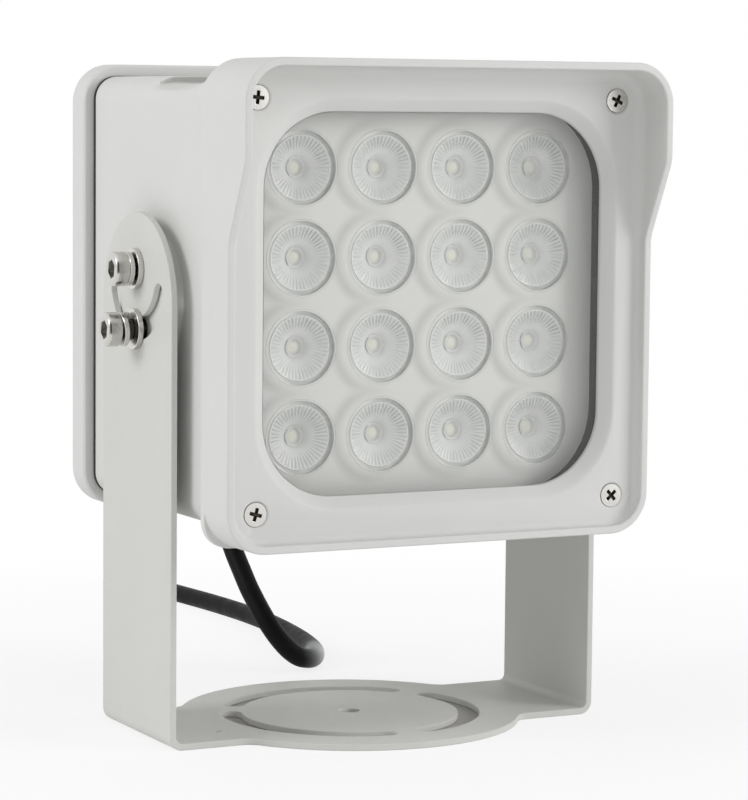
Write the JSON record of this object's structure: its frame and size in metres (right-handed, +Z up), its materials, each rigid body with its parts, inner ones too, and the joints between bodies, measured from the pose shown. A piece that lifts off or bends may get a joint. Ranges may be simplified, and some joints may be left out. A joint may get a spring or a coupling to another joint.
{
  "type": "led illuminator",
  "caption": "Square LED flood light for a camera, in a hooded cast case that tilts on a folded U bracket.",
  "frame": {"origin": "centre of the bracket's round base, on its underside", "axes": "+Z up, lit face towards -Y, tilt axis along X"},
  "size_m": [0.1618, 0.3461, 0.1982],
  "materials": {
    "bracket_paint": "off-white textured powder coat on steel sheet",
    "case_paint": "off-white powder coat on cast aluminium",
    "pane_glass": "clear flat toughened glass",
    "black_rubber": "matte black seal",
    "white_plate": "matte white plate",
    "lens_acrylic": "clear polished acrylic",
    "board_metal": "white solder mask on aluminium",
    "pad_silicone": "soft grey pad",
    "lamp_phosphor": "pale yellow phosphor",
    "stainless": "bright stainless steel",
    "circuit_board": "green solder mask",
    "standoff_brass": "plain brass",
    "can_metal": "sleeved can",
    "coil_plastic": "black moulding",
    "terminal_plastic": "green moulding",
    "lead_red": "insulated wire",
    "lead_black": "insulated wire",
    "gland_nylon": "black nylon",
    "cable_jacket": "matte black jacket"
  },
  "bodies": {
    "bracket": {"mounting_bracket": "bracket_paint", "cable_floor_run": "cable_jacket"},
    "head": {"front_bezel": "case_paint", "main_housing": "case_paint", "rear_cover": "case_paint", "front_glass": "pane_glass", "glass_seal": "black_rubber", "bezel_gasket": "black_rubber", "rear_gasket": "black_rubber", "gland_seal": "black_rubber", "lens_plate": "white_plate", "lamp_board": "board_metal", "thermal_pad": "pad_silicone", "lamps": "lamp_phosphor", "bezel_screws": "stainless", "rear_cover_screws": "stainless", "lamp_board_screws": "stainless", "m6_cap_screws": "stainless", "m6_flat_washers": "stainless", "m6_spring_washers": "stainless", "driver_board_screws": "stainless", "cable_inlet": "cable_jacket", "driver_board": "circuit_board", "board_standoffs": "standoff_brass", "driver_capacitor_1": "can_metal", "driver_capacitor_2": "can_metal", "driver_transformer": "coil_plastic", "driver_chip": "coil_plastic", "terminal_block": "terminal_plastic", "supply_lead_1": "lead_red", "supply_lead_2": "lead_black", "lamp_lead_1": "lead_red", "lamp_lead_2": "lead_black", "cable_gland": "gland_nylon", "gland_lock_nut": "gland_nylon", "gland_cap": "gland_nylon", "cable_drop": "cable_jacket", "lens_1": "lens_acrylic", "lens_2": "lens_acrylic", "lens_3": "lens_acrylic", "lens_4": "lens_acrylic", "lens_5": "lens_acrylic", "lens_6": "lens_acrylic", "lens_7": "lens_acrylic", "lens_8": "lens_acrylic", "lens_9": "lens_acrylic", "lens_10": "lens_acrylic", "lens_11": "lens_acrylic", "lens_12": "lens_acrylic", "lens_13": "lens_acrylic", "lens_14": "lens_acrylic", "lens_15": "lens_acrylic", "lens_16": "lens_acrylic"}
  },
  "joints": [
    {"name": "tilt", "type": "hinge", "parent": "bracket", "child": "head", "pos_m": [0, 0, 0.1375], "axis": [1, 0, 0], "range_deg": [-65, 65], "deforming": ["cable_drop"]}
  ]
}
